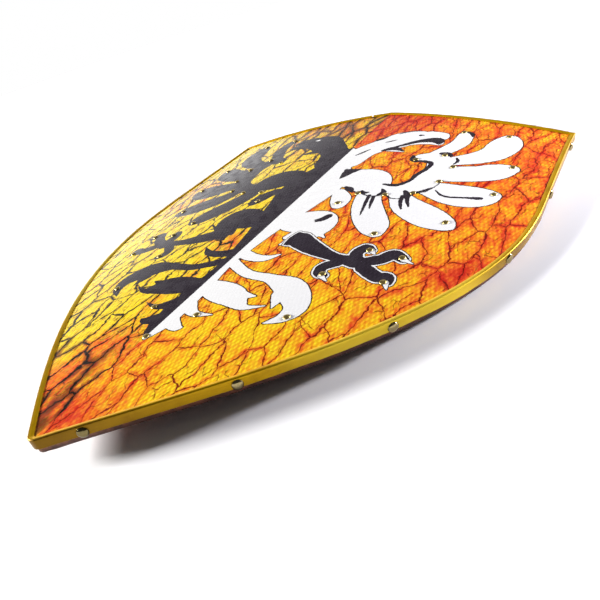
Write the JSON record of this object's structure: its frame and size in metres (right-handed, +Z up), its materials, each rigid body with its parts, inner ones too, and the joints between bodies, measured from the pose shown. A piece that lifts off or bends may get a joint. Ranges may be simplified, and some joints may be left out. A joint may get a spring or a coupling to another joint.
{
  "type": "wooden shield",
  "caption": "Bent wooden heater shield with a painted canvas face, a two-headed eagle, a gold edge strip, edge tacks and small brass face nails.",
  "frame": {"origin": "floor point under the middle of the shield's box, as it lies face up", "axes": "+Z up out of the painted face, +Y from the point towards the top edge, +X towards the white half of the eagle"},
  "size_m": [0.4968, 0.5966, 0.0479],
  "materials": {
    "board_wood": "stained, satin",
    "face_canvas": "painted and varnished canvas, satin",
    "edge_gilt": "gilt, satin",
    "tack_metal": "polished",
    "nail_brass": "polished"
  },
  "bodies": {
    "root": {"board": "board_wood", "face_canvas": "face_canvas", "edge_trim": "edge_gilt", "tack_right_1": "tack_metal", "tack_right_2": "tack_metal", "tack_right_3": "tack_metal", "tack_right_4": "tack_metal", "tack_right_5": "tack_metal", "tack_right_6": "tack_metal", "tack_left_1": "tack_metal", "tack_left_2": "tack_metal", "tack_left_3": "tack_metal", "tack_left_4": "tack_metal", "tack_left_5": "tack_metal", "tack_left_6": "tack_metal", "tack_top_right_1": "tack_metal", "tack_top_right_2": "tack_metal", "tack_top_left_1": "tack_metal", "tack_top_left_2": "tack_metal", "nail_tail_end": "nail_brass", "nail_right_tail_barb": "nail_brass", "nail_right_tail_plume": "nail_brass", "nail_right_rear_claw": "nail_brass", "nail_right_lower_claw": "nail_brass", "nail_right_upper_claw": "nail_brass", "nail_right_inner_claw": "nail_brass", "nail_right_breast_tuft": "nail_brass", "nail_right_feather_1_tip": "nail_brass", "nail_right_feather_2_tip": "nail_brass", "nail_right_feather_3_tip": "nail_brass", "nail_right_feather_4_tip": "nail_brass", "nail_right_feather_5_tip": "nail_brass", "nail_right_feather_6_tip": "nail_brass", "nail_right_feather_1_root": "nail_brass", "nail_right_feather_2_root": "nail_brass", "nail_right_feather_3_root": "nail_brass", "nail_right_feather_4_root": "nail_brass", "nail_right_feather_5_root": "nail_brass", "nail_right_feather_6_root": "nail_brass", "nail_right_wing_knuckle": "nail_brass", "nail_left_tail_barb": "nail_brass", "nail_left_tail_plume": "nail_brass", "nail_left_rear_claw": "nail_brass", "nail_left_lower_claw": "nail_brass", "nail_left_upper_claw": "nail_brass", "nail_left_inner_claw": "nail_brass", "nail_left_breast_tuft": "nail_brass", "nail_left_feather_1_tip": "nail_brass", "nail_left_feather_2_tip": "nail_brass", "nail_left_feather_3_tip": "nail_brass", "nail_left_feather_4_tip": "nail_brass", "nail_left_feather_5_tip": "nail_brass", "nail_left_feather_6_tip": "nail_brass", "nail_left_feather_1_root": "nail_brass", "nail_left_feather_2_root": "nail_brass", "nail_left_feather_3_root": "nail_brass", "nail_left_feather_4_root": "nail_brass", "nail_left_feather_5_root": "nail_brass", "nail_left_feather_6_root": "nail_brass", "nail_left_wing_knuckle": "nail_brass"}
  },
  "joints": []
}
